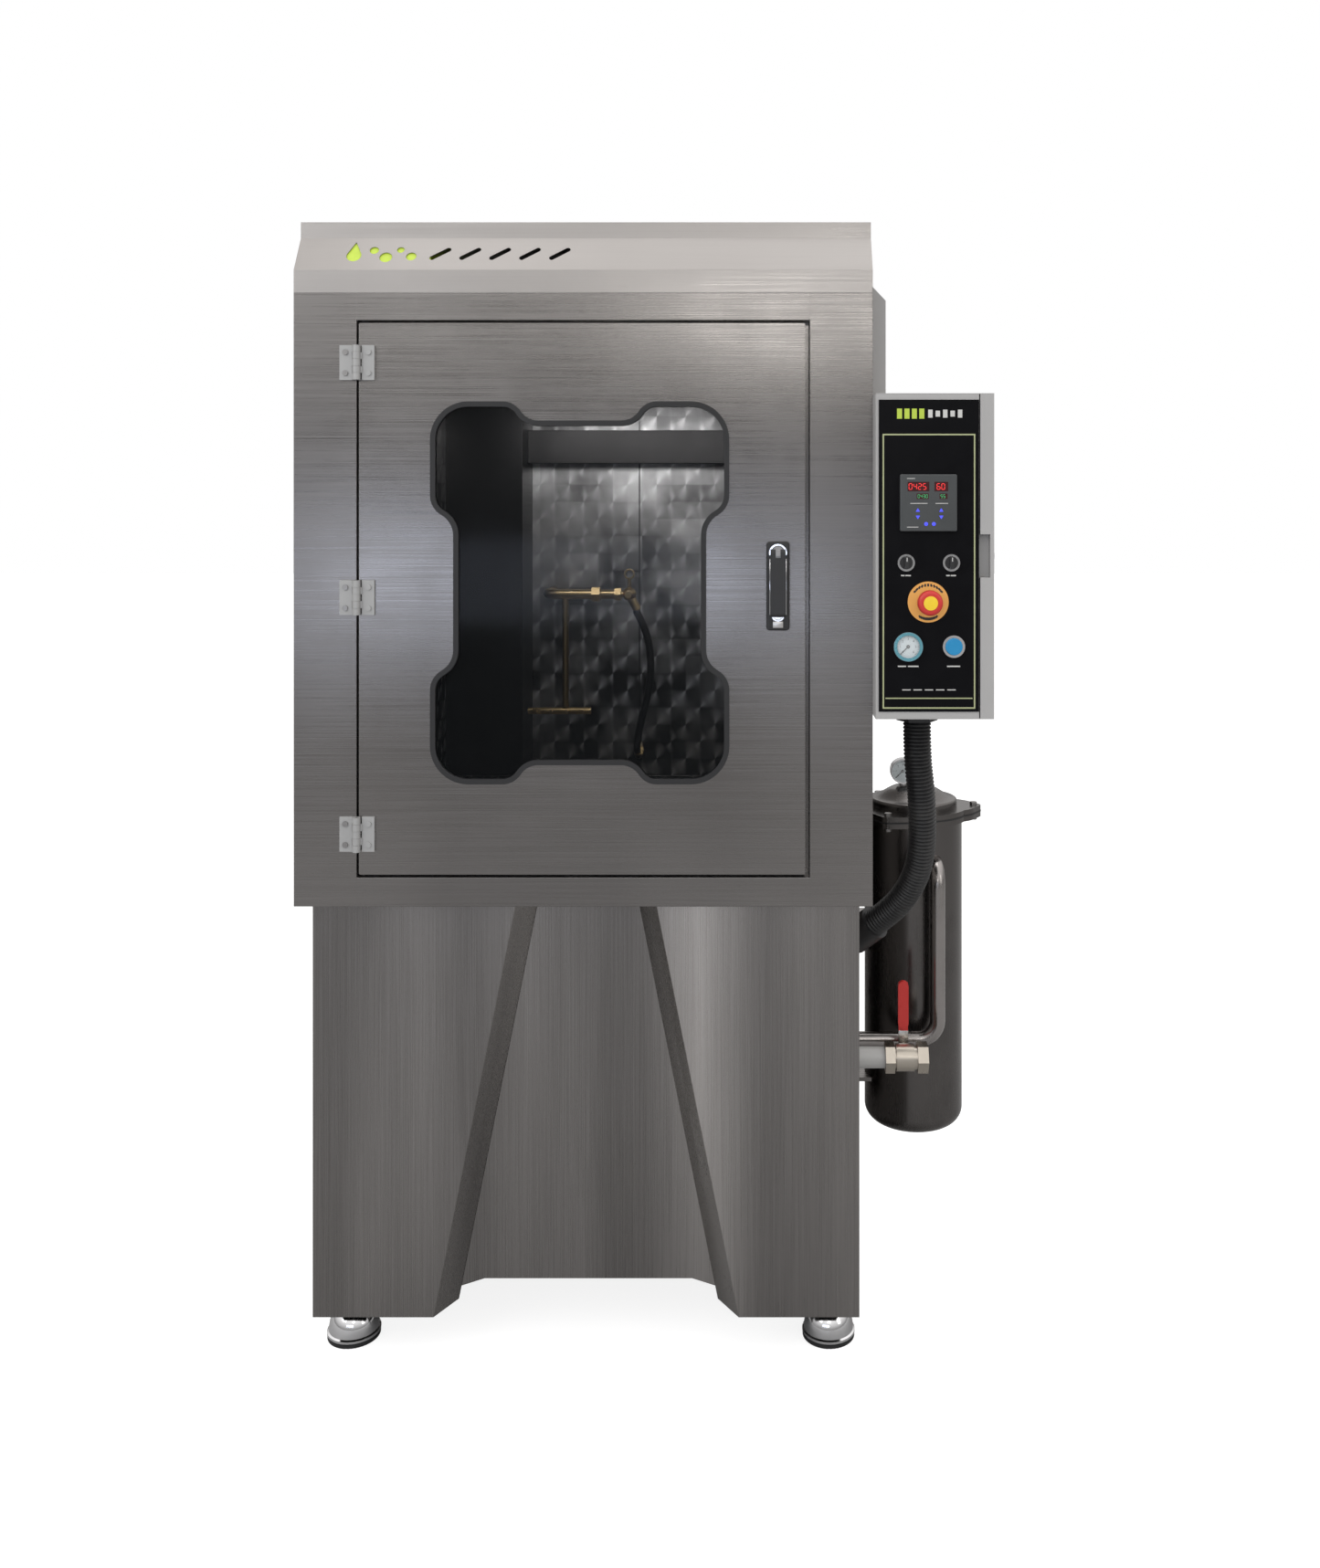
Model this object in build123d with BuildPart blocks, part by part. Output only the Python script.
from build123d import *
from math import cos, pi, radians, sin, tan
import os

# A front-door parts washing cabinet on a sheet-metal stand.
# Millimetres, +Z up, origin on the floor under the middle of the whole machine.
# Places are given in machine coordinates: x from the cabinet's middle, y behind
# the cabinet's front face, z above the floor.

os.makedirs("parts", exist_ok=True)

# ---------------------------------------------------------------- driving sizes
cabinet_w = 1000
cabinet_d = 800
stand_h = 733
foot_h = 77
frame_h = 1060
roof_rise = 40
canopy_h = 130
sheet = 2
seam = 0.1  # hairline left at a welded seam
gap = 0.3  # least clearance beside a moving piece
running = 0.05  # radial clearance of a pin or shaft in its bore

# doorway and door
stile_w = 108.5
head_w = 47
sill_w = 50
frame_return = 30
door_t = 30
door_gap_hinge = 4
door_gap_latch = 8
door_gap_end = 5
seal_gap = 4
stop_w = 20

# window
window_w = 516.5
window_h = 661
window_shift = -4
window_rise = 10.5
lobe_r = 66
end_notch = 33
end_flat = 143.5
end_run = 61
side_notch = 40
side_flat = 199
side_run = 69
gasket_w = 9
gasket_lap = 3
glass_t = 5

# hinges
hinge_h = 60
leaf_w = 30
leaf_t = 5
knuckle_r = 7
hinge_pin_r = 2.5
hinge_stand_off = 8
hinge_ends = (69, 71)
hinge_mid_rise = 2.5
screw_r = 2.5
screw_head_r = 4.8
screw_head_t = 2.4

# latch
latch_w = 40
latch_h = 153
latch_t = 11
latch_inset = 47.5
latch_rise = 22.5
hub_r = 11
spindle_r = 6
lever_w = 26
lever_t = 12
lever_l = 104
tongue_w = 8
lock_r = 8
cam_l = 30
cam_t = 3

# chamber
chamber_d = 704
sump_drop = 50
sump_outlet = 120
neck_r = 32
mast_w = 166
mast_d = 140
header_h = 73
header_d = 60
grate_drop = 22
bar_pitch = 30
bar_t = 3
bar_h = 20

# stand
stand_inset = 20
stand_setback = 40
leg_top = 358
leg_bottom = 212
bevel = 35
bevel_rise = 13
panel_rise = 49
panel_ramp = 41
post = 50
post_wall = 3
post_inset = 50
post_depth = 80
shelf_z = 170
foot_r = 47.5
foot_pad_t = 7
foot_rim_t = 8
foot_stem_r = 8

# reservoir, pump, pipes
tank_w = 800
tank_h = 340
tank_gap = 40
tank_front = 110
motor_r = 70
motor_l = 220
volute_r = 85
volute_t = 70
shaft_r = 9
pump_x = 350
pump_y = 305
pipe_r = 15
pipe_wall = 1.5
pipe_bend = 38
drain_r = 19.5
supply_r = 11

# filter vessel
vessel_r = 100
vessel_off = 125
vessel_y = 473
vessel_z = 240
vessel_h = 632
vessel_wall = 3
vessel_corner = 30
flange_r = 112
flange_t = 10
ear_reach = 140
ear_bolt = 125
bolt_r = 4
lid_step = 17
lid_r = 90
lid_rise = 26
gauge_r = 25.5
gauge_t = 22

# control box
box_w = 176
box_d = 360
box_h = 550
box_rise = 332
box_proud = 56
box_wall = 1.5
box_door_t = 23.5
notch_w = 17
latch_cam_l = 10
overlay_t = 1.5
overlay_w = 169
overlay_h = 526
hose_r = 25

# ------------------------------------------------------------- derived sizes
cabinet_z = foot_h + stand_h
side_x = cabinet_w / 2
frame_top = cabinet_z + frame_h
roof_z = frame_top + roof_rise
opening_x = side_x - stile_w
opening_z = (cabinet_z + sill_w, frame_top - head_w)
stop_y = door_t + seal_gap
inner_y = stop_y + sheet + seam
chamber_x = opening_x - stop_w
chamber_z = (opening_z[0] + stop_w, opening_z[1] - stop_w)
chamber_y = (inner_y, inner_y + chamber_d)
chamber_mid = sum(chamber_y) / 2
door_x = (-opening_x + door_gap_hinge, opening_x - door_gap_latch)
door_z = (opening_z[0] + door_gap_end, opening_z[1] - door_gap_end)
door_mid = (sum(door_x) / 2, sum(door_z) / 2)
stand_x = side_x - stand_inset
stand_y = (stand_setback, cabinet_d - stand_setback)
bevel_y = stand_setback + bevel
box_x = (side_x, side_x + box_w)
box_y = (-box_proud, -box_proud + box_d)
box_z = (cabinet_z + box_rise, cabinet_z + box_rise + box_h)
vessel_x = side_x + vessel_off
flange_z = vessel_z + vessel_h
estop_reach = 38

# the machine's middle lies between its left side and the filter's right ear,
# and between the stop button and the rear panel
cabinet_x = -(vessel_off + ear_reach) / 2
front_y = -(cabinet_d - box_proud - estop_reach) / 2


# ------------------------------------------------------------------- helpers
def at(x, y, z):
    """A point given in machine coordinates."""
    return (cabinet_x + x, front_y + y, z)


def front(x, y, z):
    """A plane seen from the front: local x right, local y up, facing forward."""
    return Plane(origin=at(x, y, z), x_dir=(1, 0, 0), z_dir=(0, -1, 0))


def level(x, y, z):
    """A plane seen from above: local x right, local y back, facing up."""
    return Plane(origin=at(x, y, z))


def side(x, y, z):
    """A plane seen from the right: local x back, local y up, facing right."""
    return Plane(origin=at(x, y, z), x_dir=(0, 1, 0), z_dir=(1, 0, 0))


def block(x, y, z, mode=Mode.ADD):
    """A box between two values on each axis."""
    with Locations(at(sum(x) / 2, sum(y) / 2, sum(z) / 2)):
        Box(x[1] - x[0], y[1] - y[0], z[1] - z[0], mode=mode)


def rod(plane, r, length, bore=0, mode=Mode.ADD):
    """A round bar or ring that starts on a plane and runs along its normal."""
    with BuildSketch(plane) as section:
        Circle(r)
        if bore:
            Circle(bore, mode=Mode.SUBTRACT)
    extrude(section.sketch, amount=length, mode=mode)


def hexagon(plane, across, length, bore=0):
    """A hexagonal bar or nut that starts on a plane."""
    with BuildSketch(plane) as section:
        RegularPolygon(across / 2, 6, major_radius=False)
        if bore:
            Circle(bore, mode=Mode.SUBTRACT)
    extrude(section.sketch, amount=length)


def bend_pipe(points, bends, r, bore=0):
    """A round pipe along straight runs joined by tangent arcs."""
    with BuildLine() as route:
        FilletPolyline(*[at(*p) for p in points], radius=bends)
    with BuildSketch(Plane(origin=route.line @ 0, z_dir=route.line % 0)) as section:
        Circle(r)
        if bore:
            Circle(bore, mode=Mode.SUBTRACT)
    sweep(section.sketch, path=route.line)


def cord_radii(points):
    """The largest arc that each corner of a hose's route has room for."""
    radii = []
    for a, b, c in zip(points, points[1:], points[2:]):
        before = Vector(*b) - Vector(*a)
        after = Vector(*c) - Vector(*b)
        half_turn = radians(before.get_angle(after)) / 2
        radii.append(0.45 * min(before.length, after.length) / tan(half_turn))
    return radii


def plate_box(x, y, z, t, skip=()):
    """Separate plates round a box: floor, lid, left, right, front, rear."""
    s = t + seam
    plates = {
        "floor": (x, y, (z[0], z[0] + t)),
        "lid": (x, y, (z[1] - t, z[1])),
        "left": ((x[0], x[0] + t), y, (z[0] + s, z[1] - s)),
        "right": ((x[1] - t, x[1]), y, (z[0] + s, z[1] - s)),
        "front": ((x[0] + s, x[1] - s), (y[0], y[0] + t), (z[0] + s, z[1] - s)),
        "rear": ((x[0] + s, x[1] - s), (y[1] - t, y[1]), (z[0] + s, z[1] - s)),
    }
    for name, spans in plates.items():
        if name not in skip:
            block(*spans)


def window_outline(plane, grow):
    """The door window's four-lobed outline, grown or shrunk by an even margin."""
    half_w, half_h = window_w / 2, window_h / 2
    start = (end_flat / 2, half_h - end_notch)
    lobe = (end_flat / 2 + end_run, half_h)
    waist = (half_w, side_flat / 2 + side_run)
    finish = (half_w - side_notch, side_flat / 2)
    end_mid = ((start[0] + lobe[0]) / 2, (start[1] + lobe[1]) / 2)
    side_mid = ((waist[0] + finish[0]) / 2, (waist[1] + finish[1]) / 2)
    with BuildSketch(plane) as outline:
        with BuildLine():
            Line((0, start[1]), start)
            TangentArc(start, end_mid, tangent=(1, 0))
            TangentArc(lobe, end_mid, tangent=(-1, 0))
            Line(lobe, (half_w - lobe_r, half_h))
            TangentArc((half_w - lobe_r, half_h), (half_w, half_h - lobe_r), tangent=(1, 0))
            Line((half_w, half_h - lobe_r), waist)
            TangentArc(waist, side_mid, tangent=(0, -1))
            TangentArc(finish, side_mid, tangent=(0, 1))
            Line(finish, (finish[0], 0))
            mirror(about=Plane.YZ)
            mirror(about=Plane.XZ)
        make_face()
        if grow:
            offset(amount=grow)
    return outline.sketch


def write(piece, label):
    """Name a finished piece and write its STEP file."""
    piece.part.label = label
    export_step(piece.part, f"parts/{label}.step")


# -------------------------------------------------------------------- hinges
hinge_x = -opening_x + door_gap_hinge / 2
hinge_y = -hinge_stand_off
hinge_z = (
    door_z[1] - hinge_ends[0],
    door_mid[1] + hinge_mid_rise,
    door_z[0] + hinge_ends[1],
)
screw_dx = leaf_w - 10
screw_dz = hinge_h / 2 - 12
segment = hinge_h / 5


def leaf_screws(sign):
    """Screw places of every hinge on one side of the pin."""
    return [(hinge_x + sign * screw_dx, z + dz) for z in hinge_z for dz in (-screw_dz, screw_dz)]


def hinge_leaf(sign, segments):
    """Cast leaves with their knuckles, one at each hinge height."""
    near = knuckle_r + 1.5
    for z in hinge_z:
        block(
            sorted((hinge_x + sign * near, hinge_x + sign * leaf_w)),
            (-leaf_t, 0),
            (z - hinge_h / 2, z + hinge_h / 2),
        )
        for n in segments:
            low = z - hinge_h / 2 + n * segment + gap / 2
            high = low + segment - gap
            block(sorted((hinge_x, hinge_x + sign * (near + 1))), (-knuckle_r, -1), (low, high))
            rod(level(hinge_x, hinge_y, low), knuckle_r, high - low)
            rod(level(hinge_x, hinge_y, low), hinge_pin_r + running, high - low, mode=Mode.SUBTRACT)
    for x, z in leaf_screws(sign):
        rod(front(x, 0, z), screw_r + 0.1, leaf_t, mode=Mode.SUBTRACT)


# --------------------------------------------------------------- front frame
with BuildPart() as front_frame:
    for sign in (-1, 1):
        outer, inner = sign * side_x, sign * opening_x
        # stile: front skin, return round the doorway, return on the outside
        block(sorted((outer, inner)), (0, sheet), (cabinet_z, frame_top))
        lip_z = (opening_z[0] - sheet, opening_z[1] + sheet)
        block(sorted((inner, inner + sign * sheet)), (0, stop_y + sheet), lip_z)
        block(sorted((outer, outer - sign * sheet)), (0, frame_return), (cabinet_z, frame_top))
        # stop flange behind the door's edge
        bar = sorted((inner - sign * seam, inner - sign * stop_w))
        block(bar, (stop_y, stop_y + sheet), (opening_z[0] + seam, opening_z[1] - seam))
    for sign, edge, far in ((1, opening_z[1], frame_top), (-1, opening_z[0], cabinet_z)):
        # head and sill rails between the stiles
        rail_x = (-opening_x + seam, opening_x - seam)
        block(rail_x, (0, sheet), sorted((edge, far)))
        block(rail_x, (0, stop_y + sheet), sorted((edge, edge + sign * sheet)))
        block(rail_x, (0, frame_return), sorted((far, far - sign * sheet)))
        stop_x = (-chamber_x + seam, chamber_x - seam)
        block(stop_x, (stop_y, stop_y + sheet), sorted((edge - sign * seam, edge - sign * stop_w)))
    for x, z in leaf_screws(-1):
        rod(front(x, sheet, z), screw_r + 0.1, sheet, mode=Mode.SUBTRACT)
write(front_frame, "front_frame")

# --------------------------------------------------------- outer sheet panels
pass_y = 340
pass_z = 450
drain_y = 240
drain_z = foot_h + stand_h - tank_gap - tank_h + 24
supply_z = 598
hose_exit = (505, 196, 718)
hose_before = (530, 181, 741)

with BuildPart() as side_panels:
    for sign in (-1, 1):
        block(
            sorted((sign * side_x, sign * (side_x - sheet))),
            (frame_return + seam, cabinet_d - sheet - seam),
            (cabinet_z, roof_z),
        )
        block(
            sorted((sign * stand_x, sign * (stand_x - sheet))),
            (stand_setback + sheet + seam, stand_y[1] - sheet - seam),
            (foot_h, cabinet_z - seam),
        )
    # passages of the pipes through the right side of the stand
    for y, z, r in (
        (pass_y, pass_z, pipe_r + 2),
        (drain_y, drain_z, drain_r + 2),
        (vessel_y, supply_z, supply_r + 2),
    ):
        rod(side(stand_x - 2 * sheet, y, z), r, 4 * sheet, mode=Mode.SUBTRACT)
write(side_panels, "side_panels")

with BuildPart() as rear_panels:
    block((-side_x, side_x), (cabinet_d - sheet, cabinet_d), (cabinet_z, roof_z))
    block((-stand_x, stand_x), (stand_y[1] - sheet, stand_y[1]), (foot_h, cabinet_z - seam))
    # louvre slots beside the pump
    slot_w, slot_h, slot_pitch = 90, 8, 22
    for column in (-1, 1):
        for row in range(8):
            x = pump_x - 60 + column * 65
            z = shelf_z + 90 + row * slot_pitch
            block(
                (x - slot_w / 2, x + slot_w / 2),
                (stand_y[1] - 2 * sheet, stand_y[1] + sheet),
                (z, z + slot_h),
                mode=Mode.SUBTRACT,
            )
write(rear_panels, "rear_panels")

with BuildPart() as roof_panel:
    block((-side_x, side_x), (frame_return + seam, cabinet_d), (roof_z + seam, roof_z + sheet))
write(roof_panel, "roof_panel")

supply_x = chamber_x + (side_x - chamber_x) / 2
with BuildPart() as base_panel:
    block(
        (-side_x + sheet + seam, side_x - sheet - seam),
        (frame_return + seam, cabinet_d - sheet - seam),
        (cabinet_z, cabinet_z + sheet),
    )
    rod(level(0, chamber_mid, cabinet_z), neck_r + 2, sheet, mode=Mode.SUBTRACT)
    rod(level(supply_x, vessel_y, cabinet_z), supply_r + 2, sheet, mode=Mode.SUBTRACT)
write(base_panel, "base_panel")

# -------------------------------------------------------------------- canopy
canopy_band = roof_rise
canopy_slope = (38, 62)
canopy_back = 98
canopy_top = frame_top + canopy_h
sign_z = frame_top + canopy_band + canopy_slope[1] / 2
sign_plane = Plane(
    origin=at(0, canopy_slope[0] / 2, sign_z),
    x_dir=(1, 0, 0),
    z_dir=(0, -canopy_slope[1], canopy_slope[0]),
)
emblem_x = -side_x + 99
canopy_outline = [
    (0, frame_top + seam),
    (0, frame_top + canopy_band),
    (canopy_slope[0], frame_top + canopy_band + canopy_slope[1]),
    (canopy_slope[0], canopy_top),
    (canopy_back, canopy_top),
    (canopy_back, roof_z + sheet + seam),
    (frame_return, roof_z + sheet + seam),
    (frame_return, frame_top + seam),
]

with BuildPart() as canopy_fascia:
    with BuildSketch(side(-side_x, 0, 0)):
        Polygon(*canopy_outline, align=None)
    extrude(amount=cabinet_w)
    with BuildSketch(side(-side_x + sheet, 0, 0)):
        Polygon(*canopy_outline, align=None)
        offset(amount=-sheet, mode=Mode.REPLACE)
    extrude(amount=cabinet_w - 2 * sheet, mode=Mode.SUBTRACT)
    # cut-out emblem: a drop with bubbles, then five wave bars
    with BuildSketch(sign_plane):
        with Locations((emblem_x, -4)):
            Circle(13)
            Polygon((-12.2, 4.5), (0, 31), (12.2, 4.5), align=None)
        for dx, dy, r in ((34, 8, 8), (56, -8, 11), (80, 9, 6.5), (100, -6, 9)):
            with Locations((emblem_x + dx, dy)):
                Circle(r)
        for n in range(5):
            with Locations((emblem_x + 150 + n * 52, 0)):
                SlotOverall(42, 9, rotation=35)
    extrude(amount=-2 * sheet, both=True, mode=Mode.SUBTRACT)
write(canopy_fascia, "canopy_fascia")

with BuildPart() as canopy_backlight:
    with BuildSketch(sign_plane.offset(-sheet - 0.5)):
        with Locations((emblem_x + 45, 0)):
            Rectangle(176, 52)
    extrude(amount=-3)
write(canopy_backlight, "canopy_backlight")

# ------------------------------------------------------------------- chamber
with BuildPart() as chamber_walls:
    for sign in (-1, 1):
        block(
            sorted((sign * chamber_x, sign * (chamber_x + sheet))),
            (chamber_y[0], chamber_y[1] + sheet),
            chamber_z,
        )
        # ledge that carries the grate
        block(
            sorted((sign * (chamber_x - seam), sign * (chamber_x - 20))),
            (chamber_y[0] + 6, chamber_y[1] - mast_d - 6),
            (chamber_z[0] + grate_drop - 7, chamber_z[0] + grate_drop - 4),
        )
    inner_span = (-chamber_x + seam, chamber_x - seam)
    block(inner_span, (chamber_y[1], chamber_y[1] + sheet), chamber_z)
    block(inner_span, (chamber_y[0], chamber_y[1] - seam), (chamber_z[1] - sheet, chamber_z[1]))
    arm_x = -chamber_x + mast_w + 48
    arm_z = cabinet_z + 501
    rod(front(arm_x, chamber_y[1] + 2 * sheet, arm_z), supply_r + 2, 3 * sheet, mode=Mode.SUBTRACT)
write(chamber_walls, "chamber_walls")

with BuildPart() as chamber_liners:
    # tall folded cover over the spray mast, at the left rear of the chamber
    mast_edge = -chamber_x + mast_w
    mast_front = chamber_y[1] - mast_d
    mast_z = (chamber_z[0] + seam, chamber_z[1] - sheet - seam)
    block((-chamber_x + seam, mast_edge), (mast_front, mast_front + sheet), mast_z)
    block((mast_edge - sheet, mast_edge), (mast_front, chamber_y[1] - seam), mast_z)
    # shallow header across the top of the rear wall
    header_z = chamber_z[1] - 203
    header_x = (mast_edge + seam, chamber_x - seam)
    header_front = chamber_y[1] - header_d
    block(header_x, (header_front, header_front + sheet), (header_z, header_z + header_h))
    for z in (header_z, header_z + header_h - sheet):
        block(header_x, (header_front, chamber_y[1] - seam), (z, z + sheet))
write(chamber_liners, "chamber_liners")

with BuildPart() as chamber_sump:
    with BuildSketch(level(0, chamber_mid, chamber_z[0] - seam)):
        Rectangle(2 * chamber_x, chamber_d)
    with BuildSketch(level(0, chamber_mid, chamber_z[0] - sump_drop)):
        Rectangle(sump_outlet, sump_outlet)
    loft()
    lids = faces().filter_by(Axis.Z)
    offset(amount=-sheet, openings=lids)
    floor_z = chamber_z[0] - sump_drop
    neck_z = cabinet_z - tank_gap - 60
    with BuildSketch(level(0, chamber_mid, floor_z)):
        Rectangle(sump_outlet, sump_outlet)
        Circle(neck_r - sheet, mode=Mode.SUBTRACT)
    extrude(amount=-sheet)
    with BuildSketch(level(0, chamber_mid, floor_z)):
        Circle(neck_r)
        Circle(neck_r - sheet, mode=Mode.SUBTRACT)
    extrude(amount=neck_z - floor_z)
write(chamber_sump, "chamber_sump")

grate_z = chamber_z[0] + grate_drop
grate_x = chamber_x - 6
grate_y = (chamber_y[0] + 8, chamber_y[1] - mast_d - 6)
with BuildPart() as parts_grate:
    bars = int(2 * (grate_x - bar_h) // bar_pitch)
    for n in range(bars + 1):
        x = (n - bars / 2) * bar_pitch
        block((x - bar_t / 2, x + bar_t / 2), grate_y, (grate_z, grate_z + bar_h))
    for y in (grate_y[0], grate_y[1] - bar_t):
        block((-grate_x, grate_x), (y, y + bar_t), (grate_z - 4, grate_z + bar_h))
    for sign in (-1, 1):
        edge = sorted((sign * grate_x, sign * (grate_x - bar_t)))
        block(edge, grate_y, (grate_z - 4, grate_z + bar_h))
    for n in range(1, 5):
        y = grate_y[0] + n * (grate_y[1] - grate_y[0]) / 5
        block((-grate_x, grate_x), (y, y + 5), (grate_z + 14, grate_z + 19))
write(parts_grate, "parts_grate")

# ------------------------------------------------- spray arm and its fittings
arm_y = chamber_y[1] - 100
coupling_x = arm_x + 118
hose_start = (coupling_x + 80, arm_y, arm_z - 35)
hose_inner = [
    hose_start,
    (hose_start[0] + 18, arm_y, arm_z - 70),
    (hose_start[0] + 29, arm_y + 2, arm_z - 110),
    (hose_start[0] + 33, arm_y + 5, arm_z - 154),
    (hose_start[0] + 30, arm_y + 7, arm_z - 199),
    (hose_start[0] + 21, arm_y + 9, arm_z - 242),
    (hose_start[0] + 10, arm_y + 14, arm_z - 281),
    (hose_start[0] + 2, arm_y + 28, arm_z - 316),
    (hose_start[0] - 2, arm_y + 51, arm_z - 342),
    (hose_start[0] - 4, arm_y + 78, arm_z - 356),
]
wash_hose_r = 8


def hose_nipple(end, before, r, bore, length):
    """A round ferrule in line with the end of a hose, past its last point."""
    lean = (Vector(*end) - Vector(*before)).normalized()
    rod(Plane(origin=at(*end), z_dir=lean), r, length, bore=bore)


with BuildPart() as spray_manifold:
    # arm: through the rear wall, forward, then across
    bend_pipe(
        [(arm_x, chamber_y[1] + 26, arm_z), (arm_x, arm_y, arm_z), (coupling_x - 20, arm_y, arm_z)],
        [24],
        supply_r,
        supply_r - pipe_wall,
    )
    # brass coupling, tee and elbow at the arm's end
    hexagon(side(coupling_x - 20 + seam, arm_y, arm_z), 30, 18, supply_r - 2)
    rod(side(coupling_x, arm_y, arm_z), 10, 30, bore=6)
    hexagon(side(coupling_x + 30 + seam, arm_y, arm_z), 26, 14, 6)
    with Locations(at(coupling_x + 62, arm_y, arm_z)):
        Sphere(15)
    rod(front(coupling_x + 62, arm_y - 8, arm_z), 7, 22)
    rod(side(coupling_x + 44 + 2 * seam, arm_y, arm_z), 7, 12)
    elbow = Vector(*hose_start) - Vector(coupling_x + 62, arm_y, arm_z)
    rod(Plane(origin=at(coupling_x + 62, arm_y, arm_z), z_dir=elbow), 9, elbow.length)
    # clip with a ring on top of the tee
    rod(level(coupling_x + 62, arm_y, arm_z + 14), 4, 22)
    with Locations(Location(at(coupling_x + 62, arm_y, arm_z + 44), (90, 0, 0))):
        Torus(10, 2)
    # drop pipe with the lower nozzle bar
    rod(level(arm_x + 40, arm_y, arm_z - 250), 7, 262 - supply_r)
    rod(side(arm_x - 42, arm_y, arm_z - 256), 7.5, 138)
    for n in range(4):
        rod(front(arm_x - 24 + n * 34, arm_y - 6, arm_z - 256), 4, 12)
    # ferrule where the hose meets the rear wall
    hose_nipple(hose_inner[-1], hose_inner[-2], 11, 0, 60)
    block((-side_x, side_x), (chamber_y[1] - seam, cabinet_d), (arm_z - 450, arm_z - 300), mode=Mode.SUBTRACT)
write(spray_manifold, "spray_manifold")

with BuildPart() as wash_hose:
    inner_radii = cord_radii(hose_inner)
    bend_pipe(hose_inner, inner_radii, wash_hose_r)
write(wash_hose, "wash_hose")
print("wash hose radii", [round(r) for r in inner_radii])

# ------------------------------------------------------------------- hinges
with BuildPart() as hinge_frame_leaves:
    hinge_leaf(-1, (0, 2, 4))
write(hinge_frame_leaves, "hinge_frame_leaves")

with BuildPart() as hinge_door_leaves:
    hinge_leaf(1, (1, 3))
    for x, z in leaf_screws(1):
        rod(front(x, -leaf_t - seam, z), screw_head_r, screw_head_t)
        rod(front(x, door_t / 4, z), screw_r, door_t / 4 + leaf_t + 2 * seam)
write(hinge_door_leaves, "hinge_door_leaves")

# ------------------------------------------------------------------ the door
window = front(door_mid[0] + window_shift, 0, door_mid[1] + window_rise)
latch_x = door_x[1] - latch_inset
latch_z = door_mid[1] + latch_rise
hub_z = latch_z + latch_h / 2 - 19
lock_z = latch_z - latch_h / 2 + 27
door_span = (door_x[1] - door_x[0], door_z[1] - door_z[0])

with BuildPart() as door_shell:
    with BuildSketch(front(door_mid[0], 0, door_mid[1])):
        RectangleRounded(*door_span, 3)
    extrude(amount=-(door_t - sheet - seam))
    with BuildSketch(front(door_mid[0], sheet, door_mid[1])):
        Rectangle(door_span[0] - 2 * sheet, door_span[1] - 2 * sheet)
    extrude(amount=-door_t, mode=Mode.SUBTRACT)
    extrude(window_outline(window, -gasket_lap), amount=-2 * sheet, mode=Mode.SUBTRACT)
    for x, z in leaf_screws(1):
        rod(front(x, sheet, z), screw_r + 0.1, sheet, mode=Mode.SUBTRACT)
    for z, r in ((hub_z, spindle_r + 2), (lock_z, lock_r + 1)):
        rod(front(latch_x, sheet, z), r, sheet, mode=Mode.SUBTRACT)
write(door_shell, "door_shell")

with BuildPart() as door_inner_pan:
    with BuildSketch(front(door_mid[0], door_t, door_mid[1])):
        RectangleRounded(*door_span, 3)
    extrude(amount=sheet)
    extrude(window_outline(window.offset(-door_t - 1), 14), amount=4 * sheet, mode=Mode.SUBTRACT)
    rod(front(latch_x, door_t, hub_z), spindle_r + running, sheet, mode=Mode.SUBTRACT)
write(door_inner_pan, "door_inner_pan")

glass_y = 3
with BuildPart() as door_glass:
    extrude(window_outline(window.offset(-glass_y), -gasket_w + 4), amount=-glass_t)
write(door_glass, "door_glass")

with BuildPart() as door_gaskets:
    # window gasket: a lip in front of the skin and a grooved body inside it
    extrude(window_outline(window, 0), amount=2.5)
    extrude(window_outline(window, -gasket_lap - seam), amount=-glass_y - glass_t - 3)
    extrude(window_outline(window.offset(5), -gasket_w), amount=-40, mode=Mode.SUBTRACT)
    extrude(window_outline(window.offset(-glass_y), -gasket_w + 4), amount=-glass_t, mode=Mode.SUBTRACT)
    # seal round the back of the door
    seal_mid = front(door_mid[0], door_t + seam, door_mid[1])
    with BuildSketch(seal_mid):
        RectangleRounded(door_span[0] - 4, door_span[1] - 4, 6)
        RectangleRounded(door_span[0] - 20, door_span[1] - 20, 4, mode=Mode.SUBTRACT)
    extrude(amount=-(seal_gap - seam - gap))
write(door_gaskets, "door_gaskets")

# ------------------------------------------------------------------ door latch
with BuildPart() as latch_housing:
    with BuildSketch(front(latch_x, 0, latch_z)):
        RectangleRounded(latch_w, latch_h, 6)
    extrude(amount=latch_t)
    fillet(faces().sort_by(Axis.Y)[0].edges(), 2.5)
    rod(front(latch_x, 0, hub_z), spindle_r + running, latch_t + 1, mode=Mode.SUBTRACT)
    rod(front(latch_x, 0, lock_z), lock_r + running, latch_t + 1, mode=Mode.SUBTRACT)
    # slide tab below the lock
    tab_z = latch_z - latch_h / 2 + 9.5
    block((latch_x - 10.5, latch_x + 10.5), (-latch_t - 3, -latch_t - seam), (tab_z - 6.5, tab_z + 6.5))
write(latch_housing, "latch_housing")

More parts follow.
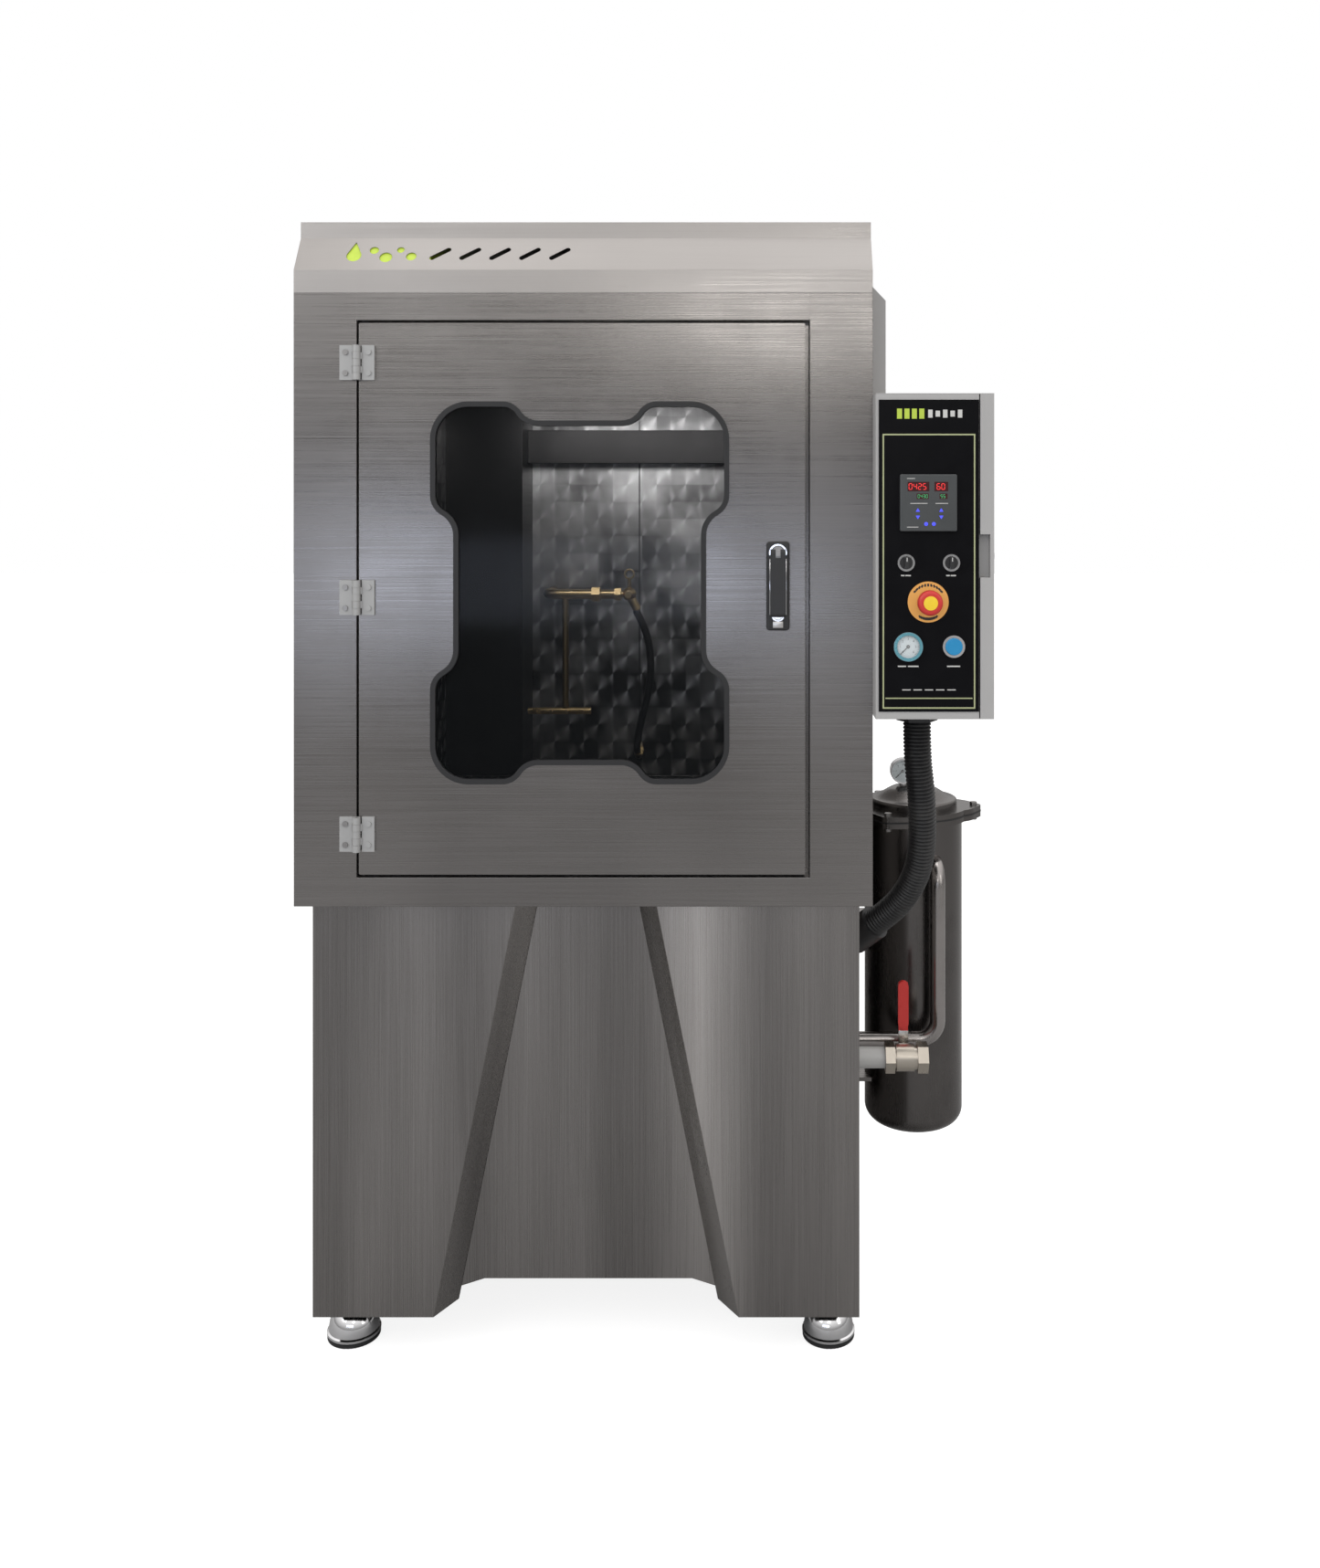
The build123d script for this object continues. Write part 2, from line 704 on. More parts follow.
pin_y = -latch_t - 5 - lever_t / 2
with BuildPart() as latch_spindle:
    # shaft through the door, disc, tongue for the lever's pin, and the cam behind
    rod(front(latch_x, door_t + 1 + cam_t, hub_z), spindle_r, door_t + 1 + cam_t + latch_t + 1)
    rod(front(latch_x, -latch_t - gap, hub_z), hub_r, 4)
    block((latch_x - tongue_w / 2, latch_x + tongue_w / 2), (pin_y - 5, -latch_t - 1), (hub_z - 5, hub_z + 5))
    rod(side(latch_x - tongue_w, pin_y, hub_z), 2 + running, 2 * tongue_w, mode=Mode.SUBTRACT)
    cam_y = (door_t + 0.6, door_t + 0.6 + cam_t)
    block((latch_x, latch_x + cam_l), cam_y, (hub_z - 8, hub_z + 8))
write(latch_spindle, "latch_spindle")

with BuildPart() as latch_lever:
    with BuildSketch(side(latch_x - lever_w / 2, pin_y, hub_z)):
        with Locations((0, -lever_l / 2)):
            SlotOverall(lever_l + lever_t, lever_t, rotation=90)
    extrude(amount=lever_w)
    slot = (latch_x - tongue_w / 2 - gap, latch_x + tongue_w / 2 + gap)
    block(slot, (pin_y - lever_t, pin_y + lever_t), (hub_z - 9, hub_z + lever_t), mode=Mode.SUBTRACT)
    rod(side(latch_x - lever_w / 2 + 1, pin_y, hub_z), 2, lever_w - 2)
write(latch_lever, "latch_lever")

with BuildPart() as lock_barrel:
    rod(front(latch_x, door_t / 2, lock_z), lock_r, door_t / 2 + latch_t + 2)
    key_slot = (-latch_t - 3, -latch_t + 1)
    block((latch_x - 1, latch_x + 1), key_slot, (lock_z - 4, lock_z + 4), mode=Mode.SUBTRACT)
write(lock_barrel, "lock_barrel")

# -------------------------------------------------------------------- stand
leg_in = (stand_x - leg_bottom, stand_x - leg_top)  # inner edge at foot and at top
stand_top = cabinet_z - seam


def leg_edge(z):
    """Inner edge of the right leg cover at a height."""
    return leg_in[0] + (leg_in[1] - leg_in[0]) * (z - foot_h) / stand_h


with BuildPart() as leg_covers:
    with BuildSketch(front(0, stand_setback, 0)):
        Polygon(
            (leg_edge(foot_h), foot_h),
            (stand_x, foot_h),
            (stand_x, stand_top),
            (leg_edge(stand_top), stand_top),
            align=None,
        )
    extrude(amount=-sheet)
    # bevelled return from the inner edge back to the centre panel
    crease = [Vector(at(leg_edge(z), stand_setback, z)) for z in (foot_h, stand_top)]
    back = [
        Vector(at(leg_edge(z) - bevel, bevel_y, z)) for z in (foot_h + bevel_rise, stand_top)
    ]
    along = (crease[1] - crease[0]).normalized()
    bevel_plane = Plane(origin=crease[0], x_dir=along, z_dir=(back[1] - crease[1]).cross(along))
    corners = [bevel_plane.to_local_coords(p) for p in (*crease, *reversed(back))]
    with BuildSketch(bevel_plane):
        Polygon(*[(p.X, p.Y) for p in corners], align=None)
    extrude(amount=sheet)
    # trim the return square at the panel behind it and under the cabinet
    block((0, stand_x), (bevel_y, bevel_y + bevel), (0, cabinet_z + bevel), mode=Mode.SUBTRACT)
    block((0, stand_x), (0, bevel_y), (stand_top, cabinet_z + bevel), mode=Mode.SUBTRACT)
    mirror(about=Plane.YZ.offset(cabinet_x))
write(leg_covers, "leg_covers")

with BuildPart() as stand_centre_panel:
    tuck = 15
    low = foot_h + panel_rise - bevel_rise
    end_x = leg_edge(low) - bevel
    half = [
        (end_x - panel_ramp, foot_h + panel_rise),
        (end_x, low),
        (end_x + tuck, low),
        (leg_edge(stand_top) - bevel + tuck, stand_top),
    ]
    with BuildSketch(front(0, bevel_y + seam, 0)):
        Polygon(*half, *[(-x, z) for x, z in reversed(half)], align=None)
    extrude(amount=-sheet)
write(stand_centre_panel, "stand_centre_panel")

post_x = stand_x - post_inset
post_y = (stand_y[0] + post_depth, stand_y[1] - post_depth)
post_z = (foot_h + 3, cabinet_z - sheet)
with BuildPart() as stand_frame:
    half_post = post / 2
    for sign in (-1, 1):
        for y in post_y:
            with BuildSketch(level(sign * post_x, y, post_z[0])):
                Rectangle(post, post)
                Rectangle(post - 2 * post_wall, post - 2 * post_wall, mode=Mode.SUBTRACT)
            extrude(amount=post_z[1] - post_z[0])
            with BuildSketch(level(sign * post_x, y, post_z[0])):
                Rectangle(post - post_wall, post - post_wall)
                Circle(foot_stem_r + running, mode=Mode.SUBTRACT)
            extrude(amount=8)
    for z, h in ((post_z[1] - post, post), (shelf_z - 40, 40)):
        for sign in (-1, 1):
            with BuildSketch(front(sign * post_x, post_y[1] - half_post - seam, z + h / 2)):
                Rectangle(post, h)
                Rectangle(post - 2 * post_wall, h - 2 * post_wall, mode=Mode.SUBTRACT)
            extrude(amount=post_y[1] - post_y[0] - post - 2 * seam)
        rod(level(supply_x, vessel_y, z - 1), supply_r + 2, h + 2, mode=Mode.SUBTRACT)
        for y in post_y:
            with BuildSketch(side(-post_x + half_post + seam, y, z + h / 2)):
                Rectangle(post, h)
                Rectangle(post - 2 * post_wall, h - 2 * post_wall, mode=Mode.SUBTRACT)
            extrude(amount=2 * post_x - post - 2 * seam)
    # shelf that carries the pump, and the tank's two bearers
    block(
        (-post_x - half_post, post_x + half_post),
        (post_y[0] + half_post + seam, post_y[1] - half_post - seam),
        (shelf_z + seam, shelf_z + sheet),
    )
    for y in (post_y[0] + half_post + 40, post_y[1] - half_post - 80):
        bearer_z = cabinet_z - tank_gap - tank_h
        span = (-post_x + half_post + seam, post_x - half_post - seam)
        block(span, (y, y + 40), (bearer_z - 20, bearer_z - seam))
    for x in (-post_x, post_x):
        for y in (post_y[0] + half_post + 40, post_y[1] - half_post - 80):
            block((x - half_post, x + half_post), (y, y + 40), (bearer_z - 20, bearer_z - seam))
            block((x - 10, x + 10), (y, y + 40), (shelf_z + sheet + seam, bearer_z - 20 - seam))
write(stand_frame, "stand_frame")

foot_places = [(sign * post_x, y) for sign in (-1, 1) for y in post_y]
with BuildPart() as leveling_feet:
    rim = foot_pad_t + foot_rim_t
    dome_h = foot_h - rim - 18
    for x, y in foot_places:
        with BuildSketch(front(x, y, 0)):
            with BuildLine():
                Line((0, foot_pad_t), (foot_r - 2, foot_pad_t))
                Line((foot_r - 2, foot_pad_t), (foot_r, foot_pad_t + 2))
                Line((foot_r, foot_pad_t + 2), (foot_r, rim - 2))
                Line((foot_r, rim - 2), (foot_r - 3, rim))
                EllipticalCenterArc((14, rim), foot_r - 17, dome_h, 0, arc_size=90)
                Line((14, rim + dome_h), (foot_stem_r, rim + dome_h))
                Line((foot_stem_r, rim + dome_h), (foot_stem_r, post_z[0] + 40))
                Line((foot_stem_r, post_z[0] + 40), (0, post_z[0] + 40))
                Line((0, post_z[0] + 40), (0, foot_pad_t))
            make_face()
        revolve(axis=Axis(at(x, y, 0), (0, 0, 1)))
write(leveling_feet, "leveling_feet")

with BuildPart() as foot_pads:
    for x, y in foot_places:
        rod(level(x, y, 0), foot_r - 0.5, foot_pad_t)
    fillet(faces().sort_by(Axis.Z)[0:4].edges(), 2)
write(foot_pads, "foot_pads")

# ------------------------------------------------------- reservoir and heater
tank_x = (-tank_w / 2, tank_w / 2)
tank_y = (tank_front + post_inset - 10, stand_y[1] - tank_front)
tank_z = (cabinet_z - tank_gap - tank_h, cabinet_z - tank_gap)
suction_y = pump_y - 55
with BuildPart() as reservoir_tank:
    plate_box(tank_x, tank_y, tank_z, sheet)
    rod(level(0, chamber_mid, tank_z[1] - sheet), neck_r + 1, sheet, mode=Mode.SUBTRACT)
    rod(level(pump_x, suction_y, tank_z[0]), pipe_r - pipe_wall, sheet, mode=Mode.SUBTRACT)
    rod(side(tank_x[1] - sheet, drain_y, drain_z), drain_r - 3.5, sheet, mode=Mode.SUBTRACT)
    rod(side(tank_x[0], sum(tank_y) / 2, tank_z[0] + 60), 40, sheet, mode=Mode.SUBTRACT)
write(reservoir_tank, "reservoir_tank")

with BuildPart() as heater_element:
    heater_y = sum(tank_y) / 2
    heater_z = tank_z[0] + 60
    hexagon(side(tank_x[0] - 14 - seam, heater_y, heater_z), 92, 14)
    rod(side(tank_x[0] - 40, heater_y, heater_z), 26, 27)
    for dy in (-22, 0, 22):
        bend_pipe(
            [
                (tank_x[0] - 2, heater_y + dy, heater_z - 20),
                (tank_x[0] + 420, heater_y + dy, heater_z - 20),
                (tank_x[0] + 420, heater_y + dy, heater_z + 20),
                (tank_x[0] - 2, heater_y + dy, heater_z + 20),
            ],
            [19, 19],
            4,
        )
write(heater_element, "heater_element")

# ----------------------------------------------------------------------- pump
pump_z = shelf_z + 100
outlet_x = pump_x + volute_r - 5
motor_y = pump_y + volute_t + 5
with BuildPart() as pump_volute:
    rod(front(pump_x, pump_y + volute_t, pump_z), volute_r, volute_t)
    rod(level(outlet_x, pass_y, pump_z), pipe_r + 5, volute_r - 20)
    rod(front(pump_x, pump_y + volute_t + 1, pump_z), volute_r - 12, volute_t - 14, mode=Mode.SUBTRACT)
    rod(front(pump_x, pump_y + 20, pump_z), pipe_r - pipe_wall, 30, mode=Mode.SUBTRACT)
    rod(level(outlet_x, pass_y, pump_z + 10), pipe_r - pipe_wall, volute_r, mode=Mode.SUBTRACT)
    # foot down to the shelf
    block((pump_x - 45, pump_x + 45), (pump_y, pump_y + 14), (shelf_z + sheet + seam, pump_z - 60))
write(pump_volute, "pump_volute")

with BuildPart() as pump_motor:
    rod(front(pump_x, motor_y + motor_l, pump_z), motor_r - 6, motor_l)
    rod(front(pump_x, motor_y, pump_z), volute_r, 5 - seam)
    for n in range(24):
        with BuildSketch(front(pump_x, motor_y + motor_l - 40, pump_z)):
            with PolarLocations(motor_r - 4, 1, start_angle=n * 360 / 24):
                Rectangle(10, 2.4)
        extrude(amount=motor_l - 55)
    rod(front(pump_x, motor_y + motor_l + 1, pump_z), motor_r - 12, 30, mode=Mode.SUBTRACT)
    rod(front(pump_x, motor_y + motor_l + 1, pump_z), shaft_r + running, motor_l + 10, mode=Mode.SUBTRACT)
    # terminal box on top, and the foot
    terminal_z = pump_z + motor_r
    block((pump_x - 40, pump_x + 40), (motor_y + 60, motor_y + 150), (terminal_z - 12, terminal_z + 30))
    block((pump_x - 55, pump_x + 55), (motor_y + 50, motor_y + 150), (shelf_z + sheet + seam, shelf_z + 12))
    block((pump_x - 35, pump_x + 35), (motor_y + 60, motor_y + 140), (shelf_z + 11, pump_z - motor_r + 16))
write(pump_motor, "pump_motor")

with BuildPart() as pump_rotor:
    # impeller, shaft and the cooling fan at the rear
    rod(front(pump_x, motor_y + motor_l - 4, pump_z), shaft_r, motor_l - 4 + 5 + volute_t - 30)
    rod(front(pump_x, pump_y + volute_t - 12, pump_z), volute_r - 22, 8)
    for n in range(6):
        with BuildSketch(front(pump_x, pump_y + volute_t - 19, pump_z)):
            with PolarLocations(volute_r - 46, 1, start_angle=n * 60):
                Rectangle(44, 4, rotation=30)
        extrude(amount=14)
    rod(front(pump_x, motor_y + motor_l - 8, pump_z), motor_r - 40, 10)
    for n in range(7):
        with BuildSketch(front(pump_x, motor_y + motor_l - 8, pump_z)):
            with PolarLocations(motor_r - 36, 1, start_angle=n * 360 / 7):
                Rectangle(34, 3, rotation=20)
        extrude(amount=10)
write(pump_rotor, "pump_rotor")

# ---------------------------------------------------------------------- pipes
pipe_x = vessel_x + 33
inlet_z = flange_z - 83
with BuildPart() as water_pipes:
    # suction: tank floor to pump inlet
    bend_pipe(
        [
            (pump_x, suction_y, tank_z[0] - seam),
            (pump_x, suction_y, pump_z),
            (pump_x, pump_y - seam, pump_z),
        ],
        [pipe_bend],
        pipe_r,
        pipe_r - pipe_wall,
    )
    # delivery: pump outlet, out of the stand, up and into the vessel
    bend_pipe(
        [
            (outlet_x, pass_y, pump_z + volute_r - 20 + seam),
            (outlet_x, pass_y, pass_z),
            (pipe_x, pass_y, pass_z),
            (pipe_x, pass_y, inlet_z),
            (pipe_x, vessel_y - vessel_r / 2, inlet_z),
        ],
        [pipe_bend, pipe_bend, pipe_bend],
        pipe_r,
        pipe_r - pipe_wall,
    )
    # supply: vessel to the spray arm, up beside the chamber and round its back,
    # in three bends joined by union nuts
    rear_y = chamber_y[1] + 28
    riser_top = (supply_x, vessel_y, arm_z - 60)
    rear_end = (supply_x, rear_y - 60, arm_z)
    supply_runs = [
        [(vessel_x - vessel_r / 2, vessel_y, supply_z), (supply_x, vessel_y, supply_z), riser_top],
        [(supply_x, vessel_y, riser_top[2] + seam), (supply_x, vessel_y, arm_z), rear_end],
        [(supply_x, rear_end[1] + seam, arm_z), (supply_x, rear_y, arm_z), (arm_x + 30, rear_y, arm_z)],
    ]
    for run in supply_runs:
        bend_pipe(run, [24], supply_r, supply_r - pipe_wall)
    hexagon(level(*riser_top).offset(-10), 32, 20, supply_r + seam)
    hexagon(front(*rear_end).offset(-10), 32, 20, supply_r + seam)
    with Locations(at(vessel_x, vessel_y, (vessel_z + flange_z) / 2)):
        Cylinder(vessel_r, vessel_h, mode=Mode.SUBTRACT)
    # junction block behind the chamber
    block(
        (arm_x - 14, arm_x + 30 - seam),
        (chamber_y[1] + 26 + seam, chamber_y[1] + 44),
        (arm_z - 14, arm_z + 14),
    )
    # union nuts outside the stand
    hexagon(side(stand_x + 3, vessel_y, supply_z), 32, 20, supply_r + seam)
    hexagon(side(stand_x + 3, vessel_y, supply_z - 95), 32, 16)
write(water_pipes, "water_pipes")

valve_x = (side_x + 44, side_x + 125)
with BuildPart() as drain_pipe:
    rod(side(tank_x[1], drain_y, drain_z), drain_r, valve_x[0] - tank_x[1], bore=drain_r - 3.5)
write(drain_pipe, "drain_pipe")

stem_x = side_x + 83
ball_r = 25
thread_l = 16
with BuildPart() as valve_body:
    hexagon(side(valve_x[0] + seam, drain_y, drain_z), 50, 18, drain_r - 3.5)
    rod(side(valve_x[0] + 18, drain_y, drain_z), 20, 10, bore=drain_r - 3.5)
    rod(side(stem_x - 18, drain_y, drain_z), ball_r, 34, bore=drain_r - 3.5)
    rod(side(stem_x + 16, drain_y, drain_z), 22, 10, bore=drain_r - 3.5)
    hexagon(side(valve_x[1] - 20, drain_y, drain_z), 50, 20, drain_r - 3.5)
    rod(side(valve_x[1] - thread_l, drain_y, drain_z), drain_r, thread_l, mode=Mode.SUBTRACT)
    # stem neck at the rear
    rod(front(stem_x, drain_y + ball_r + 8, drain_z), 10, 16)
    rod(front(stem_x, drain_y + ball_r + 9, drain_z), 5 + running, 30, mode=Mode.SUBTRACT)
write(valve_body, "valve_body")

with BuildPart() as valve_lever:
    lever_y = drain_y + ball_r + 10
    rod(front(stem_x, lever_y + 8, drain_z), 5, 22)
    hexagon(front(stem_x, lever_y + 7, drain_z), 14, 3.5)
    # steel strip, then the dipped sleeve over it
    with BuildSketch(front(stem_x, lever_y + 3, 0)):
        with Locations((0, drain_z)):
            Circle(11)
        Polygon((-9, drain_z), (9, drain_z), (9, drain_z + 130), (-9, drain_z + 130), align=None)
    extrude(amount=3)
    with BuildSketch(front(stem_x, lever_y + 6, 0)):
        with Locations((0, drain_z + 87.5)):
            SlotOverall(91, 20, rotation=90)
    extrude(amount=9)
write(valve_lever, "valve_lever")

# -------------------------------------------------------------- filter vessel
ear_angles = (0, 120, 240)


def flange_outline(z, r, reach):
    """Round flange with three pointed ears."""
    with BuildSketch(level(vessel_x, vessel_y, z)) as outline:
        Circle(r)
        for angle in ear_angles:
            with BuildSketch(mode=Mode.ADD) as ear:
                with PolarLocations(reach - 15, 1, start_angle=angle):
                    Circle(15)
                with PolarLocations(r * 0.62, 1, start_angle=angle):
                    Circle(r * 0.55)
                make_hull()
        with PolarLocations(ear_bolt, len(ear_angles)):
            Circle(bolt_r + 0.2, mode=Mode.SUBTRACT)
    return outline.sketch


with BuildPart() as filter_vessel:
    rod(level(vessel_x, vessel_y, vessel_z), vessel_r, vessel_h)
    fillet(faces().sort_by(Axis.Z)[0].edges(), vessel_corner)
    offset(amount=-vessel_wall, openings=faces().sort_by(Axis.Z)[-1])
    extrude(flange_outline(flange_z - flange_t, flange_r, ear_reach), amount=flange_t)
    mouth = level(vessel_x, vessel_y, flange_z - 2 * flange_t)
    rod(mouth, vessel_r - vessel_wall, 3 * flange_t, mode=Mode.SUBTRACT)
    # ports of the delivery and supply pipes
    rod(front(pipe_x, vessel_y, inlet_z), pipe_r - pipe_wall, vessel_r, mode=Mode.SUBTRACT)
    rod(side(vessel_x - vessel_r, vessel_y, supply_z), supply_r - pipe_wall, 40, mode=Mode.SUBTRACT)
write(filter_vessel, "filter_vessel")

gasket_t = 3
lid_z = flange_z + gasket_t + 2 * seam
with BuildPart() as filter_gasket:
    extrude(flange_outline(flange_z + seam, flange_r + 1, ear_reach + 0.5), amount=gasket_t)
    rod(level(vessel_x, vessel_y, flange_z), vessel_r - 8, 2 * gasket_t, mode=Mode.SUBTRACT)
write(filter_gasket, "filter_gasket")

dome_z = lid_z + flange_t + lid_step
gauge_x = vessel_x - 22
gauge_stem_r = 6.5
with BuildPart() as filter_lid:
    extrude(flange_outline(lid_z, flange_r, ear_reach), amount=flange_t)
    with BuildSketch(front(vessel_x, vessel_y, 0)):
        with BuildLine():
            Line((0, lid_z), (lid_r, lid_z))
            Line((lid_r, lid_z), (lid_r, dome_z - 6))
            TangentArc((lid_r, dome_z - 6), (lid_r - 8, dome_z), tangent=(0, 1))
            Spline(
                (lid_r - 8, dome_z),
                (lid_r * 0.5, dome_z + lid_rise * 0.74),
                (0, dome_z + lid_rise),
                tangents=[(-1, 0.3), (-1, 0)],
            )
            Line((0, dome_z + lid_rise), (0, lid_z))
        make_face()
    revolve(axis=Axis(at(vessel_x, vessel_y, 0), (0, 0, 1)))
    rod(level(vessel_x, vessel_y, lid_z), vessel_r - 16, flange_t + lid_step - 8, mode=Mode.SUBTRACT)
    socket = level(gauge_x, vessel_y, dome_z + lid_rise - 13)
    rod(socket, gauge_stem_r + running, lid_rise, mode=Mode.SUBTRACT)
write(filter_lid, "filter_lid")

with BuildPart() as filter_cartridge:
    with BuildSketch(level(vessel_x, vessel_y, vessel_z + 30)):
        Circle(66)
        with PolarLocations(66, 36):
            Circle(4)
        Circle(34, mode=Mode.SUBTRACT)
    extrude(amount=vessel_h - 70)
write(filter_cartridge, "filter_cartridge")

with BuildPart() as filter_bracket:
    for z in (vessel_z + 90, vessel_z + 410):
        block((stand_x, vessel_x - vessel_r / 2), (vessel_y - 45, vessel_y + 45), (z, z + 8))
        block((stand_x, stand_x + 4), (vessel_y - 60, vessel_y + 60), (z - 30, z + 40))
    with Locations(at(vessel_x, vessel_y, (vessel_z + flange_z) / 2)):
        Cylinder(vessel_r + seam, vessel_h, mode=Mode.SUBTRACT)
write(filter_bracket, "filter_bracket")

# ------------------------------------------------------------- control box
box_mid_x = side_x + 5 + overlay_w / 2
overlay_z = box_z[0] + 13 + overlay_h / 2
panel_y = box_y[0] - overlay_t
controller_place = (side_x + 88, cabinet_z + 697)
knob_places = {"left": (side_x + 51, cabinet_z + 596), "right": (side_x + 127, cabinet_z + 596)}
estop_place = (side_x + 88, cabinet_z + 530)
gauge_place = (side_x + 54, cabinet_z + 455)
button_place = (side_x + 131, cabinet_z + 455)
controller_size = 96
knob_shaft_r = 5
estop_stem_r = 9
button_r = 14.5
panel_gauge_r = 24.5


def panel_holes():
    """Cut the instruments' openings through the panel being built."""
    x, z = controller_place
    cut = controller_size / 2 - 2
    block((x - cut, x + cut), (panel_y - 1, box_y[0] + box_wall + 1), (z - cut, z + cut), mode=Mode.SUBTRACT)
    holes = [(p, knob_shaft_r + gap) for p in knob_places.values()]
    holes += [(estop_place, estop_stem_r + gap), (button_place, button_r + gap)]
    holes.append((gauge_place, panel_gauge_r - 2))
    for (x, z), r in holes:
        rod(front(x, box_y[0] + box_wall + 1, z), r, box_wall + overlay_t + 2, mode=Mode.SUBTRACT)


hose_top = (side_x + 86, 80, box_z[0] - 22)
hose_route = [
    hose_top,
    (hose_top[0], 80, hose_top[2] - 62),
    (hose_top[0] + 8, 83, hose_top[2] - 130),
    (hose_top[0] + 12, 92, hose_top[2] - 199),
    (hose_top[0] + 9, 109, hose_top[2] - 264),
    (hose_top[0] - 8, 134, hose_top[2] - 318),
    (hose_top[0] - 34, 160, hose_top[2] - 360),
    (hose_top[0] - 66, 184, hose_top[2] - 392),
]

with BuildPart() as control_box:
    plate_box(box_x, box_y, box_z, box_wall, skip=("right",))
    panel_holes()
    rod(level(hose_top[0], hose_top[1], box_z[0]), hose_r - 3, box_wall, mode=Mode.SUBTRACT)
    # pin blocks of the two door hinges, on the rear wall
    pin_x, pin_yb = box_x[1], box_y[1] + 6
    for z in (box_z[0] + 80, box_z[1] - 80):
        rod(level(pin_x, pin_yb, z - 12), 5, 24)
        block((pin_x - 30, pin_x), (box_y[1] + seam, box_y[1] + 4), (z - 12, z + 12))
        rod(level(pin_x, pin_yb, z - 36), 2.5, 72)
write(control_box, "control_box")

with BuildPart() as box_door:
    door_xb = (box_x[1] + gap, box_x[1] + gap + box_door_t)
    block(door_xb, box_y, box_z)
    block(
        (door_xb[0] - 1, door_xb[1] - 2),
        (box_y[0] + box_wall, box_y[1] - box_wall),
        (box_z[0] + box_wall, box_z[1] - box_wall),
        mode=Mode.SUBTRACT,
    )
    # finger pocket in the front edge
    notch_z = (box_z[0] + 239, box_z[0] + 312)
    notch_x = door_xb[0] + notch_w
    block((door_xb[0], notch_x + 2), (box_y[0], box_y[0] + notch_w), (notch_z[0] - 2, notch_z[1] + 2))
    block((door_xb[0] - 1, notch_x), (box_y[0] - 1, box_y[0] + notch_w - 2), notch_z, mode=Mode.SUBTRACT)
    latch_place = (box_y[0] + 30, box_z[0] + 275)
    rod(side(door_xb[1] - 3, *latch_place), 9 + running, 4, mode=Mode.SUBTRACT)
    # hinge knuckles above and below each pin block
    for z in (box_z[0] + 80, box_z[1] - 80):
        for low in (z - 30, z + 14):
            rod(level(pin_x, pin_yb, low), 5, 16)
            block((pin_x, door_xb[1]), (box_y[1] + gap, box_y[1] + 4), (low, low + 16))
            rod(level(pin_x, pin_yb, low), 2.5 + running, 16, mode=Mode.SUBTRACT)
        block((door_xb[0] + 2, door_xb[1]), (box_y[1] - 1, box_y[1] + 2), (z - 30, z - 14))
        block((door_xb[0] + 2, door_xb[1]), (box_y[1] - 1, box_y[1] + 2), (z + 14, z + 30))
write(box_door, "box_door")

with BuildPart() as box_latch:
    rod(side(door_xb[1] - 14, *latch_place), 9, 16)
    rod(side(door_xb[1] + 0.5, *latch_place), 12, 3)
    block(
        (door_xb[1] - 14, door_xb[1] - 11),
        (latch_place[0] - latch_cam_l, latch_place[0]),
        (latch_place[1] - 7, latch_place[1] + 7),
    )
    block(
        (door_xb[1] + 2, door_xb[1] + 5),
        (latch_place[0] - 1, latch_place[0] + 1),
        (latch_place[1] - 8, latch_place[1] + 8),
        mode=Mode.SUBTRACT,
    )
write(box_latch, "box_latch")

with BuildPart() as control_overlay:
    block(
        (box_mid_x - overlay_w / 2, box_mid_x + overlay_w / 2),
        (panel_y, box_y[0] - seam),
        (overlay_z - overlay_h / 2, overlay_z + overlay_h / 2),
    )
    panel_holes()
write(control_overlay, "control_overlay")

with BuildPart() as controller:
    x, z = controller_place
    body = controller_size / 2 - 2.5
    with BuildSketch(front(x, panel_y - seam, z)):
        RectangleRounded(controller_size, controller_size, 3)
    extrude(amount=8.5)
    fillet(faces().sort_by(Axis.Y)[0].edges(), 2)
    block((x - body, x + body), (panel_y - seam, panel_y + 78), (z - body, z + body))
write(controller, "controller")

with BuildPart() as panel_bezels:
    # rings under the selectors, legend disc and collar of the stop button
    for x, z in knob_places.values():
        rod(front(x, panel_y - seam, z), 14.5, 4, bore=11)
    x, z = estop_place
    rod(front(x, panel_y - seam, z), 34, 1.5, bore=15)
    rod(front(x, panel_y - seam, z), 14.9, 11, bore=estop_stem_r + gap)
    x, z = button_place
    rod(front(x, panel_y - seam, z), 18.75, 4.5, bore=button_r + gap)
write(panel_bezels, "panel_bezels")

for hand, (x, z) in knob_places.items():
    with BuildPart() as selector_knob:
        rod(front(x, panel_y - 0.5, z), 10.5, 4)
        block((x - 3.5, x + 3.5), (panel_y - 15, panel_y - 4), (z - 10, z + 10))
        rod(front(x, panel_y + 12, z), knob_shaft_r, 13)
    write(selector_knob, f"selector_knob_{hand}")

with BuildPart() as estop_stem:
    x, z = estop_place
    rod(front(x, panel_y + 22, z), estop_stem_r, 22 + 20)
    rod(front(x, panel_y - 19, z), 5.5, 12)
write(estop_stem, "estop_stem")

with BuildPart() as estop_head:
    rod(front(x, panel_y - 20 - gap, z), 21, 16)
    fillet(faces().sort_by(Axis.Y)[0].edges(), 6)
    rod(front(x, panel_y - 20, z), 5.5 + running, 12.5, mode=Mode.SUBTRACT)
write(estop_head, "estop_head")

with BuildPart() as start_button:
    x, z = button_place
    rod(front(x, panel_y + 14, z), button_r, 14 + 8)
    fillet(faces().sort_by(Axis.Y)[0].edges(), 1.5)
write(start_button, "start_button")


